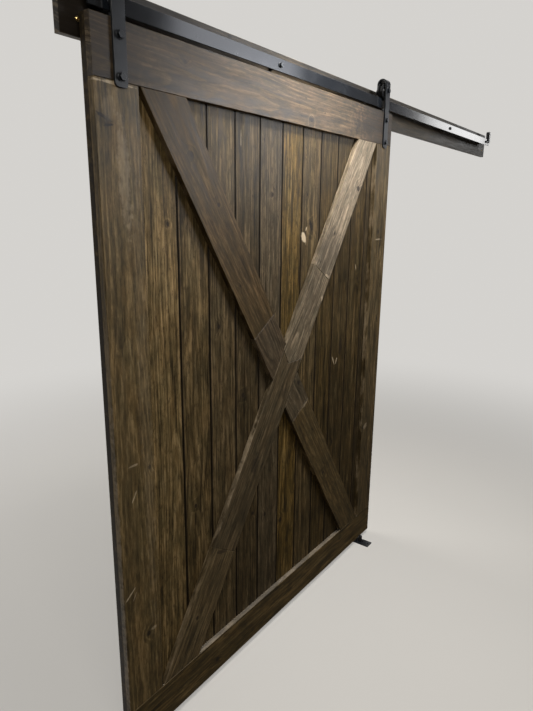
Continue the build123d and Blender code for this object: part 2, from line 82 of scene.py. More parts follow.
def size_of(name):
    """Size of one solid's box along X, Y and Z."""
    low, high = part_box(name)
    return high - low


class Knot(NamedTuple):
    """A knot in a board's face: its place along and across the grain and its size, in millimetres."""

    along: float
    across: float
    radius: float
    spread: float = 1.0


class ScuffAndPaintedLight(NamedTuple):
    """A pale or dark patch on a board's face, in millimetres, with its lean to the grain in degrees: rubs and
    spots of the wood, and also painted shade and painted highlights.
    """

    along: float
    across: float
    length: float
    width: float
    lean: float
    strength: float


class Board(NamedTuple):
    """What sets one board apart: tone and greyness of its stain, its grain and shine, knots and scuffs, and some
    patches of painted shade and painted highlight.
    """

    tone: float
    grey: float
    streaks: float
    heart: tuple
    shine: float = 1.0
    hue: float = 0.5
    dirt: float = 0.25
    rings: float = 0.6
    knots: tuple = ()
    pale: tuple = ()
    dark: tuple = ()


# Level boards of the frame. The heart of the tree is given across and behind the face, in millimetres.
RAILS = {
    "rail_top": Board(
        tone=0.62, grey=0.1, streaks=0.6, heart=(-40, 60), shine=1.1, hue=0.49, rings=0.9,
        knots=(Knot(138, -45, 8), Knot(-520, 20, 6)),
        dark=(
            # The large patches over the rail's ends, along 760 and -830, are painted shade: the rail is darker
            # towards both ends.
            ScuffAndPaintedLight(-250, 25, 160, 14, 3, 0.5), ScuffAndPaintedLight(760, 0, 640, 340, 0, 0.7),
            ScuffAndPaintedLight(-830, 0, 420, 340, 0, 0.5), ScuffAndPaintedLight(96, 24, 12, 8, 0, 0.6), ScuffAndPaintedLight(232, -8, 14, 7, 0, 0.6),
            ScuffAndPaintedLight(330, 30, 12, 6, 0, 0.5), ScuffAndPaintedLight(-430, -16, 130, 5, 6, 0.5),
            ScuffAndPaintedLight(-470, 26, 90, 5, -7, 0.5), ScuffAndPaintedLight(-60, -34, 160, 5, 4, 0.45),
            ScuffAndPaintedLight(40, 14, 110, 4, -4, 0.45),
        ),
    ),
    "rail_bottom": Board(
        tone=0.69, grey=0.0, streaks=0.8, heart=(30, 45),
        knots=(Knot(-420, -20, 9), Knot(510, 26, 8)),
    ),
}

# Upright boards of the frame
STILES = {
    "stile_left": Board(
        tone=1.03, grey=0.04, streaks=0.45, heart=(10, 55),
        knots=(Knot(-122, -51, 6), Knot(-684, -18, 8)),
        pale=(
            ScuffAndPaintedLight(-198, 14, 46, 6, -30, 0.8), ScuffAndPaintedLight(-96, 8, 8, 44, 0, 0.5),
            ScuffAndPaintedLight(-505, 44, 66, 6, -52, 0.9), ScuffAndPaintedLight(-522, 30, 30, 4, -30, 0.7),
            ScuffAndPaintedLight(-676, -38, 12, 26, 0, 0.6), ScuffAndPaintedLight(920, 0, 7, 150, 0, 1.3),
            ScuffAndPaintedLight(700, -10, 300, 40, 2, 0.25), ScuffAndPaintedLight(866, 26, 90, 40, -10, 0.22),
            # The long pale strip along the side face, across 75, is a rub and also a painted highlight of the lit
            # side.
            ScuffAndPaintedLight(-420, 75, 1500, 13, 0, 0.5), ScuffAndPaintedLight(40, -44, 1500, 44, 0, 0.09),
        ),
        dark=(
            ScuffAndPaintedLight(839, 44, 9, 56, -22, 1.4), ScuffAndPaintedLight(822, 30, 9, 38, 10, 1.4),
            ScuffAndPaintedLight(830, 36, 34, 64, -16, 0.35), ScuffAndPaintedLight(300, 40, 130, 26, 2, 0.4),
            ScuffAndPaintedLight(-60, 34, 1500, 66, 0, 0.16), ScuffAndPaintedLight(40, -20, 220, 18, 0, 0.35),
        ),
    ),
    "stile_right": Board(
        tone=0.64, grey=0.05, streaks=0.8, heart=(-20, 50),
        knots=(Knot(540, 10, 9), Knot(-432, 52, 9), Knot(120, -30, 7)),
        pale=(ScuffAndPaintedLight(504, 0, 8, 74, 0, 0.55), ScuffAndPaintedLight(-432, 34, 26, 44, 20, 0.4)),
    ),
}

# Boards of the X brace, by the line that they lie in, with places measured from the crossing
FALLING_BOARDS = {
    "brace_falling_head": Board(
        tone=0.5, grey=0.0, streaks=0.4, heart=(25, 50), shine=0.7, hue=0.493,
        knots=(Knot(-925, 4, 8), Knot(-748, 24, 6), Knot(-470, -30, 5)),
    ),
    "brace_falling_upper": Board(tone=0.5, grey=0.2, streaks=0.35, heart=(-30, 40), shine=0.7, hue=0.494),
    "brace_falling_lower": Board(
        tone=0.56, grey=0.2, streaks=0.6, heart=(10, 45), knots=(Knot(92, 50, 8),),
    ),
    "brace_falling_foot": Board(
        tone=0.62, grey=0.0, streaks=0.6, heart=(-15, 55), knots=(Knot(620, -22, 7),),
        pale=(ScuffAndPaintedLight(212, 34, 9, 50, 0, 0.35),),
    ),
}
RISING_BOARDS = {
    "brace_rising_foot": Board(
        tone=0.87, grey=0.12, streaks=0.6, heart=(20, 50), knots=(Knot(-930, 20, 6),),
        dark=(ScuffAndPaintedLight(-694, 12, 14, 60, 12, 0.6),),
    ),
    "brace_rising_lower": Board(
        tone=0.61, grey=0.15, streaks=0.5, heart=(-25, 60),
        # The pale strip along the upper side face is a rub and also a painted highlight of the lit side.
        pale=(ScuffAndPaintedLight(-370, 74, 620, 9, 0, 0.35),),
        dark=(ScuffAndPaintedLight(-358, -2, 90, 50, 10, 0.6), ScuffAndPaintedLight(-60, -30, 50, 40, 0, 0.3)),
    ),
    "brace_rising_upper": Board(
        tone=1.2, grey=0.3, streaks=0.5, heart=(15, 45), knots=(Knot(72, -42, 10, 1.6),),
        dark=(ScuffAndPaintedLight(330, 10, 260, 110, 4, 0.3),),
        pale=(ScuffAndPaintedLight(374, -62, 30, 14, 30, 0.8),),
    ),
    "brace_rising_head": Board(
        tone=1.72, grey=0.35, streaks=0.4, heart=(-10, 50),
        knots=(Knot(897, -50, 10, 1.4), Knot(637, 9, 5), Knot(486, 36, 5)),
        pale=(ScuffAndPaintedLight(467, -46, 12, 34, 10, 0.7),),
        dark=(ScuffAndPaintedLight(540, 0, 260, 220, 0, 0.42),),
    ),
}


def panel_board(**marks):
    """A board of the panel, duller and dirtier than those of the frame."""
    return Board(shine=0.5, dirt=0.6, **marks)


# Upright boards of the panel, from left to right
PANEL = (
    # The first board's dark strip along its left side is a painted shadow.
    panel_board(tone=0.63, grey=0.1, streaks=0.7, heart=(10, 40), dark=(ScuffAndPaintedLight(0, 74, 3000, 20, 0, 0.9),)),
    panel_board(tone=1.12, grey=0.05, streaks=0.9, heart=(-30, 35), knots=(Knot(583, -24, 6),)),
    panel_board(tone=0.74, grey=0.05, streaks=1.0, heart=(20, 40), knots=(Knot(-350, 20, 7),)),
    panel_board(tone=0.66, grey=0.1, streaks=0.8, heart=(-5, 30), knots=(Knot(250, 25, 8),)),
    panel_board(
        tone=0.49, grey=0.1, streaks=0.9, heart=(35, 45),
        knots=(Knot(-20, 30, 9), Knot(-520, -30, 7)), pale=(ScuffAndPaintedLight(843, 40, 60, 5, 0, 0.4),),
    ),
    panel_board(
        tone=0.59, grey=0.2, streaks=0.6, heart=(-15, 35),
        knots=(Knot(681, -5, 6), Knot(859, 46, 5), Knot(-560, 24, 8)),
    ),
    panel_board(tone=0.75, grey=-0.1, streaks=1.2, heart=(25, 30), knots=(Knot(-637, 44, 11),)),
    panel_board(
        tone=0.59, grey=0.05, streaks=0.9, heart=(5, 35),
        knots=(Knot(568, -4, 12), Knot(688, 30, 5), Knot(-300, -30, 6)),
        pale=(ScuffAndPaintedLight(528, 50, 52, 26, 24, 1.6), ScuffAndPaintedLight(560, 34, 22, 8, -30, 0.9)),
        dark=(ScuffAndPaintedLight(576, 2, 46, 20, 24, 1.3),),
    ),
    panel_board(tone=0.4, grey=-0.05, streaks=1.2, heart=(-25, 40), knots=(Knot(-560, 10, 7),)),
    panel_board(
        tone=0.36, grey=0.0, streaks=0.9, heart=(15, 35), knots=(Knot(-420, 30, 7),),
        pale=(ScuffAndPaintedLight(-24, 44, 46, 8, 28, 0.7), ScuffAndPaintedLight(-30, 18, 40, 8, -24, 0.7)),
        dark=(ScuffAndPaintedLight(36, -16, 90, 34, 0, 0.7),),
    ),
    panel_board(
        tone=0.41, grey=0.0, streaks=1.0, heart=(-10, 45), knots=(Knot(330, -20, 7),),
        pale=(ScuffAndPaintedLight(383, 4, 34, 6, 15, 0.6),),
    ),
    panel_board(tone=0.36, grey=0.1, streaks=0.9, heart=(20, 35), knots=(Knot(-400, 10, 8),)),
    panel_board(tone=0.36, grey=0.1, streaks=0.9, heart=(0, 40)),
)
PANEL_BOARDS = {f"panel_board_{number:02}": board for number, board in enumerate(PANEL, 1)}

# Header board
HEADER_BOARDS = {
    "header_board": Board(
        tone=0.24, grey=0.25, streaks=1.0, heart=(-20, 45),
        knots=(Knot(-1060, 60, 9, 1.6), Knot(-1280, -30, 7), Knot(420, 30, 8), Knot(1280, -20, 7)),
        # The large patch over the board's left end is a painted shadow.
        dark=(ScuffAndPaintedLight(-1058, 58, 40, 6, -45, 0.8), ScuffAndPaintedLight(-1660, 0, 460, 700, 0, 0.85)),
    ),
}


class Lamp(NamedTuple):
    """A soft lamp: its power, place, the point it faces, its side, its colour and, for a spot, its cone."""

    power: float
    place: tuple
    target: tuple
    side: float
    colour: tuple = (1.0, 1.0, 1.0)
    cone: float = 0.0


LAMPS = {
    "downlight": Lamp(135.0, (-0.66, -0.52, 0.62), (-0.66, -0.46, -1.0), 0.24, (1.0, 0.99, 0.97), 104.0),
    "sheen_lamp": Lamp(18.0, (0.30, -1.2, 0.04), (-1.0, 0.0, -0.1), 0.5, (0.97, 0.99, 1.03)),
    "side_lamp": Lamp(6.5, (0.40, -1.267, 0.53), (-0.6, 0.0, -0.2), 0.8, (0.95, 0.98, 1.06)),
    "end_lamp": Lamp(5.0, (3.26, -0.87, 0.35), (0.3, 0.0, -0.2), 0.6),
    "left_lamp": Lamp(26.0, (-2.7, -1.9, 0.8), (-1.4, 0.0, -0.3), 1.2, (1.0, 0.98, 0.94)),
    "back_lamp": Lamp(60.0, (-0.6, 2.6, 1.4), (-0.6, 0.6, -1.6), 1.6),
}


def colour_setting(name, description, default):
    """A colour among the settings."""
    return FloatVectorProperty(name=name, description=description, default=default, subtype="COLOR")


def length_setting(name, description, default):
    """A length among the settings, in metres."""
    return FloatProperty(name=name, description=description, default=default, unit="LENGTH", precision=4)


def share_setting(name, description, default):
    """A share between 0 and 1 among the settings."""
    return FloatProperty(
        name=name, description=description, default=default, subtype="FACTOR", min=0.0, max=1.0,
    )


def angle_setting(name, description, degrees):
    """An angle among the settings, given in degrees."""
    return FloatProperty(name=name, description=description, default=math.radians(degrees), subtype="ANGLE")


class BoardSettings(PropertyGroup):
    """Stain and grain of the boards."""

    ring_spacing: length_setting("Ring Spacing", "Distance from one growth ring to the next", 0.0085)
    brace_angle: angle_setting("Brace Angle", "Angle of the X brace above level", 57.05)
    dark_stain: colour_setting("Dark Stain", "Stain that early wood has taken up", (0.018, 0.0112, 0.0040))
    middle_stain: colour_setting("Middle Stain", "Stain over most of a board", (0.102, 0.066, 0.0235))
    light_stain: colour_setting("Light Stain", "Stain on the hard lines of late wood", (0.28, 0.192, 0.088))
    # The knot colour is also that of the painted shade in the joints and in the dark patches of painted shade.
    knot_and_shade_colour: colour_setting("Knot", "Heart of a knot", (0.012, 0.008, 0.005))
    # Bare wood is also the colour of the painted highlights on some side faces.
    bare_wood_and_highlight_colour: colour_setting("Bare Wood", "Wood where the stain is rubbed off", (0.42, 0.33, 0.22))
    # Dust and painted light from above, on the ledges that face up.
    dust_and_top_light_colour: colour_setting("Dust", "Dust on the narrow ledges", (0.30, 0.27, 0.235))
    grey_tint: colour_setting("Grey Tint", "Shift of the stain in its cooler patches", (0.93, 1.0, 1.05))
    gold_tint: colour_setting("Gold Tint", "Shift of the stain in its warmer patches", (1.05, 0.985, 0.88))
    satin_roughness: share_setting("Satin Roughness", "Roughness of the satin top coat", 0.5)
    gloss: share_setting("Gloss", "Strength of the top coat's reflection", 0.3)
    # The dark joints are painted shade in the gaps between the panel boards.
    joint_width: length_setting("Joint Width", "Reach of a dark joint to each of its sides", 0.0075)
    edge_rub: length_setting("Edge Rub", "Width of the rubbed line along a board's edges", 0.0022)


class SteelSettings(PropertyGroup):
    """Coated and bare steel, nylon and rubber."""

    coat_colour: colour_setting("Black Coat", "Powder coat on the track and hangers", (0.010, 0.0118, 0.015))
    coat_roughness: share_setting("Coat Roughness", "Roughness of the powder coat", 0.29)
    scuff_colour: colour_setting("Dusty Coat", "Rubbed or dusty powder coat", (0.034, 0.037, 0.042))
    steel_colour: colour_setting("Bare Steel", "Zinc plated and worn steel", (0.52, 0.52, 0.5))
    brass_colour: colour_setting("Yellow Zinc", "Plating of the header's screws", (0.66, 0.47, 0.2))
    nylon_colour: colour_setting("Nylon", "Turned nylon of wheels and rollers", (0.013, 0.013, 0.014))
    rubber_colour: colour_setting("Rubber", "Rubber of the bumpers", (0.02, 0.02, 0.02))


class ScrewSettings(PropertyGroup):
    """Screws that hold the header, the floor guide and the panel boards."""

    header_head_radius: length_setting("Header Screw Head", "Radius of the washer head", 0.0062)
    guide_head_radius: length_setting("Guide Screw Head", "Radius of the floor screw's pan head", 0.0048)
    board_head_radius: length_setting("Board Screw Head", "Radius of the flat head", 0.0042)
    shank_radius: length_setting("Shank", "Radius of the screws' shanks", 0.0022)
    steps: IntProperty(name="Steps", description="Steps of a full turn on large heads", default=24, min=12)


class StageSettings(PropertyGroup):
    """Floor, lamps and camera."""

    floor_reach: length_setting("Floor Radius", "How far the floor goes", 30.0)
    floor_colour: colour_setting("Floor", "Pale matt floor", (0.70, 0.66, 0.60))
    backdrop_colour: colour_setting("Backdrop", "Pale surroundings behind the door", (0.66, 0.645, 0.62))
    front_colour: colour_setting("Front", "Dim side of the studio before the door", (0.10, 0.085, 0.065))
    bounce_colour: colour_setting("Bounce", "Floor as it lights the door from below", (0.30, 0.235, 0.115))
    ambient: FloatProperty(name="Ambient", description="Strength of the even light", default=0.06)
    ambient_colour: colour_setting("Ambient Colour", "Colour of the even light", (1.0, 0.91, 0.64))
    camera_place: FloatVectorProperty(
        name="Camera", description="Place of the camera", default=(-2.540, -1.2675, -0.4772), subtype="XYZ",
    )
    camera_heading: angle_setting("Heading", "Turn to the right from facing the door", 53.55)
    camera_tilt: angle_setting("Tilt", "Tilt of the camera above level", -14.10)
    camera_roll: angle_setting("Roll", "Roll of the camera about its own line of sight", 0.6)
    lens: FloatProperty(name="Lens", description="Focal length in millimetres", default=28.32)


class BarnDoorSettings(PropertyGroup):
    """All settings of the barn door."""

    boards: PointerProperty(type=BoardSettings)
    steel: PointerProperty(type=SteelSettings)
    screws: PointerProperty(type=ScrewSettings)
    stage: PointerProperty(type=StageSettings)


def arithmetic(operation, swapped=False):
    """Operator of a reading that adds a Math node."""

    def operator(self, other):
        first, second = (other, self) if swapped else (self, other)
        return self.sheet.math(operation, first, second)

    return operator


class Reading:
    """A socket in a material's nodes. Arithmetic on it adds Math nodes."""

    def __init__(self, sheet, socket):
        self.sheet = sheet
        self.socket = socket

    def __abs__(self):
        return self.sheet.math("ABSOLUTE", self)

    __add__ = __radd__ = arithmetic("ADD")
    __mul__ = __rmul__ = arithmetic("MULTIPLY")
    __sub__, __rsub__ = arithmetic("SUBTRACT"), arithmetic("SUBTRACT", swapped=True)
    __truediv__, __rtruediv__ = arithmetic("DIVIDE"), arithmetic("DIVIDE", swapped=True)


class NodeSheet:
    """The nodes of one material or of the world."""

    def __init__(self, tree):
        self.tree = tree
        tree.nodes.clear()

    def node(self, kind, settings=None, inputs=None, output=0):
        """Add a node: its settings first, then the values or links of its sockets. Gives one output."""
        made = self.tree.nodes.new(kind)
        for name, value in (settings or {}).items():
            if name == "stops":
                self.set_stops(made.color_ramp.elements, value)
            else:
                setattr(made, name, value)
        for name, value in (inputs or {}).items():
            if isinstance(value, Reading):
                self.tree.links.new(value.socket, made.inputs[name])
            else:
                made.inputs[name].default_value = value
        return Reading(self, made.outputs[output]) if len(made.outputs) else made

    @staticmethod
    def set_stops(elements, stops):
        """Give a ramp its stops, as pairs of a place and a grey level or a colour."""
        while len(elements) < len(stops):
            elements.new(1.0)
        for element, (place, level) in zip(elements, stops):
            element.position = place
            element.color = (level, level, level, 1) if isinstance(level, (int, float)) else (*level, 1)

    def math(self, operation, first, second=0.0):
        """One step of arithmetic on values."""
        return self.node("ShaderNodeMath", {"operation": operation}, {0: first, 1: second})

    def larger(self, first, second):
        """The larger of two values."""
        return self.math("MAXIMUM", first, second)

    def vector(self, operation, first, second=(0, 0, 0)):
        """One step of arithmetic on vectors."""
        return self.node("ShaderNodeVectorMath", {"operation": operation}, {0: first, 1: second})

    def length(self, vector):
        """Length of a vector."""
        return self.node("ShaderNodeVectorMath", {"operation": "LENGTH"}, {0: vector}, "Value")

    def join(self, x, y, z=0.0):
        """A vector from its coordinates."""
        return self.node("ShaderNodeCombineXYZ", inputs={0: x, 1: y, 2: z})

    def part(self, vector, axis):
        """One coordinate of a vector: 0 for X, 1 for Y, 2 for Z."""
        return self.node("ShaderNodeSeparateXYZ", inputs={0: vector}, output=axis)

    def ray(self, kind):
        """1 for rays of a kind and 0 for all others."""
        return self.node("ShaderNodeLightPath", output=f"Is {kind} Ray")

    def noise(self, vector, scales, detail=2.0, roughness=0.5):
        """Soft noise around 0.5, with its own scale along each axis."""
        stretched = self.vector("MULTIPLY", vector, scales)
        inputs = {"Vector": stretched, "Scale": 1.0, "Detail": detail, "Roughness": roughness}
        return self.node("ShaderNodeTexNoise", inputs=inputs)

    def rise(self, value, low, high):
        """0 below low and 1 above high, with a smooth rise between. It falls where low is above high."""
        inputs = {"Value": value, "From Min": low, "From Max": high}
        return self.node("ShaderNodeMapRange", {"interpolation_type": "SMOOTHSTEP"}, inputs)

    def ramp(self, value, stops):
        """Colour or level of a ramp."""
        return self.node("ShaderNodeValToRGB", {"stops": stops}, {0: value})

    def mix(self, factor, first, second, blend="MIX"):
        """Blend of two colours."""
        first = first if isinstance(first, Reading) else (*first, 1)
        second = second if isinstance(second, Reading) else (*second, 1)
        settings = {"data_type": "RGBA", "blend_type": blend}
        return self.node("ShaderNodeMix", settings, {0: factor, 6: first, 7: second}, output=2)

    def clamp(self, value):
        """Value kept between 0 and 1."""
        return self.node("ShaderNodeClamp", inputs={0: value})


class Finish(NodeSheet):
    """A material in the making."""

    def __init__(self, name):
        self.material = bpy.data.materials.new(name)
        self.material.use_nodes = True
        super().__init__(self.material.node_tree)

    def coordinates(self, centre=(0, 0, 0), turn=0.0):
        """Object coordinates from a centre, with X turned up from the header's X by an angle about Y."""
        place = self.node("ShaderNodeTexCoord", output="Object")
        settings = {"vector_type": "TEXTURE"}
        inputs = {"Vector": place, "Location": centre, "Rotation": (0, -turn, 0)}
        return self.node("ShaderNodeMapping", settings, inputs)

    def surface(self, height, **inputs):
        """Finish the material: a relief in metres, and the sockets of its surface by name."""
        named = {name.replace("_", " "): value for name, value in inputs.items()}
        bump = {"Height": height, "Strength": 1.0, "Distance": 1.0}
        named["Normal"] = self.node("ShaderNodeBump", inputs=bump)
        shader = self.node("ShaderNodeBsdfPrincipled", inputs=named)
        self.node("ShaderNodeOutputMaterial", inputs={"Surface": shader})
        return self.material


class Grain(NamedTuple):
    """The marks of a board's grain, each between 0 and 1."""

    late: Reading
    broad: Reading
    streak: Reading
    vein: Reading
    fibre: Reading
    blotch: Reading
    pore: Reading


# Noises of the wood: scales along and across the grain, per metre, then detail and roughness
WANDER = ((1.4, 2.5, 2.5), 1.0)
RIPPLE = ((9, 26, 26), 2.0)
RAGGED = ((60, 60, 60), 2.0)
BROAD = ((3.0, 34, 1), 3.0, 0.6)
STREAK = ((4.5, 85, 1), 2.0, 0.65)
VEIN = ((3.5, 140, 1), 3.0, 0.65)
FIBRE = ((28.0, 160, 160), 3.0, 0.65)
BLOTCH = ((9.0, 20, 20), 5.0, 0.7)
PORE = ((26, 900, 900), 1.0)
DIRT = ((30, 65, 65), 4.0, 0.75)

# How far the heart of the tree wanders and its rings ripple, in metres, and how fast the tree tapers
HEART_WANDER = 0.055
RING_RIPPLE = 0.006
TREE_TAPER = 0.012

# Mean uptake of the stain, what each mark of the grain adds to it, and how strongly dark veins show
MEAN_UPTAKE = 0.44
RING_SHARE = 0.36
BROAD_SHARE = 0.7
STREAK_SHARE = 1.6
FIBRE_SHARE = 1.0
BLOTCH_SHARE = 0.6
VEIN_SHARE = 0.55

# Relief of the grain in metres
LATE_RELIEF = 0.00008
FIBRE_RELIEF = 0.00014
STREAK_RELIEF = 0.0002
PORE_DEPTH = 0.00016

# Each seed moves the wood's noises by these steps, so that no two boards share their grain
SEED_STEPS = (3.7, 1.9, 2.3)
RAIL_SEED = 1
STILE_SEED = 5
FALLING_SEED = 10
RISING_SEED = 14
PANEL_SEED = 20
HEADER_SEED = 40

# Relief of steel, nylon and rubber in metres, and the turned circles' radians per metre
PEEL_RELIEF = 0.000004
LINE_RELIEF = 0.00003
TOOL_MARKS = 9000.0
TOOL_MARK_RELIEF = 0.00001
WEAR_RELIEF = 0.00004
RUBBER_RELIEF = 0.00006


def spot(finish, place, mark):
    """1 inside the outline of a scuff or a patch of painted light and 0 outside, with a ragged edge."""
    lean = math.radians(mark.lean)
    along, across, ragged = place
    along = along - mark.along * mm
    across = across - mark.across * mm
    lengthwise = along * math.cos(lean) + across * math.sin(lean)
    sideways = across * math.cos(lean) - along * math.sin(lean)
    reach = finish.join(lengthwise / (mark.length * mm / 2), sideways / (mark.width * mm / 2))
    return finish.rise(finish.length(reach) + (ragged - 0.5) * 1.6, 1.15, 0.55) * mark.strength


def heart_distance(finish, local, tree, board):
    """Distance from the heart of the tree, which wanders and tapers along the board."""
    wander = finish.noise(tree, *WANDER) - 0.5
    ripple = finish.noise(tree, *RIPPLE) - 0.5
    heart = (0.0, board.heart[1] * mm, board.heart[0] * mm)
    offset = finish.vector("SUBTRACT", local, heart)
    straight = finish.length(finish.vector("MULTIPLY", offset, (0.0, 1.0, 1.0)))
    return straight + wander * HEART_WANDER + ripple * RING_RIPPLE + finish.part(local, 0) * TREE_TAPER


def knotted(finish, place, radial, board):
    """Bulge the rings round a board's knots. Gives the new distance from the heart and the knots' mask."""
    along, across, ragged = place
    mask = None
    for knot in board.knots:
        beside = finish.join((along - knot.along * mm) * 0.8, (across - knot.across * mm) / knot.spread)
        distance = finish.length(beside) + (ragged - 0.5) * 0.004
        radius = knot.radius * mm
        radial = radial + finish.rise(distance, radius * 4.2, radius * 0.4) * (radius * 1.5)
        core = finish.rise(distance, radius * 1.15, radius * 0.7)
        halo = finish.rise(distance, radius * 2.4, radius * 0.9) * 0.3
        dark = finish.larger(core, halo)
        mask = dark if mask is None else finish.larger(mask, dark)
    return radial, mask


def grain_of(finish, place, tree, radial, ring_spacing, seed):
    """Rings about the heart, streaks that follow them round the knots, and marks that run straight."""
    along, across, _ = place
    rings = finish.math("FRACT", radial / ring_spacing)
    flow = finish.join(along, across + radial * 0.5, seed * 0.31)
    return Grain(
        late=finish.ramp(rings, ((0.0, 0.0), (0.45, 0.12), (0.86, 1.0), (0.95, 0.9), (1.0, 0.0))),
        broad=finish.noise(flow, *BROAD),
        streak=finish.noise(flow, *STREAK),
        vein=finish.rise(finish.noise(flow, *VEIN), 0.53, 0.62),
        fibre=finish.noise(tree, *FIBRE),
        blotch=finish.noise(tree, *BLOTCH),
        pore=finish.rise(finish.noise(tree, *PORE), 0.66, 0.74) * 0.5,
    )


def stain_colour(finish, grain, board, settings):
    """Colour of the stain: dark where the wood took it up, light on the hard lines of late wood."""
    uptake = (
        MEAN_UPTAKE
        + (grain.late - 0.4) * (RING_SHARE * board.rings)
        + (grain.broad - 0.5) * (BROAD_SHARE * board.streaks)
        + (grain.streak - 0.5) * (STREAK_SHARE * board.streaks)
        + (grain.fibre - 0.5) * FIBRE_SHARE
        + (grain.blotch - 0.5) * BLOTCH_SHARE
    )
    stain = finish.ramp(
        uptake, ((0.0, settings.dark_stain), (0.45, settings.middle_stain), (1.0, settings.light_stain)),
    )
    warmth = finish.rise(grain.blotch + grain.streak * 0.4, 0.45, 0.95)
    tint = finish.mix(warmth, settings.grey_tint, settings.gold_tint)
    stain = finish.mix(1.0, stain, tint, "MULTIPLY")
    return finish.node(
        "ShaderNodeHueSaturation",
        inputs={"Hue": board.hue, "Saturation": 1.0 - board.grey, "Value": board.tone, "Color": stain},
    )


def rubbed(finish, colour, place, half_length, half_width, grain, settings):
    """Colour with the stain rubbed off along the board's edges, broken up by the grain."""
    along, across, _ = place
    to_edge = finish.math("MINIMUM", half_width - abs(across), half_length - abs(along))
    worn = finish.rise(to_edge, settings.edge_rub, 0.0) * finish.rise(grain.blotch + grain.streak, 0.95, 1.25)
    return finish.mix(worn * 0.35, colour, settings.bare_wood_and_highlight_colour)


def dusty(finish, colour, blotch, dust_and_top_light_colour):
    """Colour with dust and painted light from above on the ledges that face up."""
    facing_up = finish.part(finish.node("ShaderNodeNewGeometry", output="Normal"), 2)
    # Paler the more a face points up: dust and painted light from above
    ledge_dust_and_light = finish.rise(facing_up, 0.8, 0.95) * (0.08 + blotch * 0.5)
    return finish.mix(finish.clamp(ledge_dust_and_light), colour, dust_and_top_light_colour)


def stained_wood(name, board, settings, centre, turn, half_length, half_width, seed, joints_across):
    """Stained pine with growth rings about the tree's heart, streaks, knots, scuffs and rubbed edges, and painted
    shade and highlights.

    Joints are places across the board, from its middle, where painted shade darkens the gaps between the boards.
    """
    finish = Finish(name)
    # X runs along the grain, Y towards the back and Z across the board's face
    local = finish.coordinates(centre, turn)
    tree = finish.vector("ADD", local, tuple(seed * step for step in SEED_STEPS))
    ragged = finish.noise(tree, *RAGGED)
    place = (finish.part(local, 0), finish.part(local, 2), ragged)
    radial, knot_mask = knotted(finish, place, heart_distance(finish, local, tree, board), board)
    grain = grain_of(finish, place, tree, radial, settings.ring_spacing, seed)
    colour = stain_colour(finish, grain, board, settings)

    # Fine dark pores and veins, dirt, knots and dark spots, some of them painted shade, and painted shade in the
    # joints
    lines = finish.larger(grain.pore, grain.vein * (VEIN_SHARE * board.streaks))
    colour = finish.mix(lines, colour, settings.dark_stain)
    dirt = finish.rise(finish.noise(tree, *DIRT), 0.53, 0.68)
    colour = finish.mix(dirt * board.dirt, colour, settings.dark_stain)
    if knot_mask is not None:
        colour = finish.mix(knot_mask * 0.9, colour, settings.knot_and_shade_colour)
    front = finish.rise(finish.part(local, 1), 0.008, 0.006)
    # Dark patches: spots of the wood, and on some boards painted shade and painted shadows
    for mark in board.dark:
        colour = finish.mix(finish.clamp(spot(finish, place, mark) * front), colour, settings.knot_and_shade_colour)
    for joint in joints_across:
        # Painted shade in the joints between the boards
        gap = abs(place[1] - joint) + (ragged - 0.5) * 0.002
        joint_shade = finish.rise(gap, settings.joint_width, settings.joint_width * 0.3)
        colour = finish.mix(joint_shade * 0.96, colour, settings.knot_and_shade_colour)

    colour = rubbed(finish, colour, place, half_length, half_width, grain, settings)
    broken = (finish.rise(grain.streak + grain.fibre, 0.75, 1.1) * 0.5 + 0.5) * front
    # Pale patches: rubs and chips, and on some side faces a painted highlight along with the rub
    for mark in board.pale:
        colour = finish.mix(finish.clamp(spot(finish, place, mark) * broken), colour, settings.bare_wood_and_highlight_colour)
    colour = dusty(finish, colour, grain.blotch, settings.dust_and_top_light_colour)

    rough = settings.satin_roughness + (grain.broad - 0.5) * 0.25 + (grain.fibre - 0.5) * 0.2
    rough = rough + grain.late * 0.05
    relief = (
        grain.late * LATE_RELIEF + grain.fibre * FIBRE_RELIEF + grain.streak * STREAK_RELIEF
        - grain.pore * PORE_DEPTH
    )
    return finish.surface(
        height=relief, Base_Color=colour, Roughness=finish.clamp(rough),
        Specular_IOR_Level=settings.gloss * board.shine,
    )


def coated_steel(name, settings, roughness, worn_top=None):
    """Black powder coat: a fine orange-peel relief, dusty patches and, on a track, a top worn by wheels."""
    finish = Finish(name)
    local = finish.coordinates()
    dust = finish.noise(local, (22, 22, 22), detail=4.0, roughness=0.65)
    peel = finish.noise(local, (950, 950, 950), detail=1.0)
    fleck = finish.rise(finish.noise(local, (160, 160, 160)), 0.7, 0.76)
    patches = finish.rise(dust, 0.5, 0.78) * 0.5 + fleck * 0.3
    colour = finish.mix(finish.clamp(patches), settings.coat_colour, settings.scuff_colour)
    metallic = 0.0
    if worn_top is not None:
        track_middle, track_top = worn_top
        smear = finish.noise(local, (5, 40, 26), detail=3.0, roughness=0.6)
        upper = finish.rise(finish.part(local, 2), track_top - 0.0012, track_top - 0.0004)
        band = finish.rise(abs(finish.part(local, 1) - track_middle), 0.0026, 0.0014)
        metallic = finish.clamp(upper * band * finish.rise(smear + dust, 0.7, 1.05))
        colour = finish.mix(metallic, colour, settings.steel_colour)
    return finish.surface(
        height=peel * PEEL_RELIEF, Base_Color=colour, Metallic=metallic,
        Roughness=finish.clamp(roughness + (dust - 0.5) * 0.08),
    )


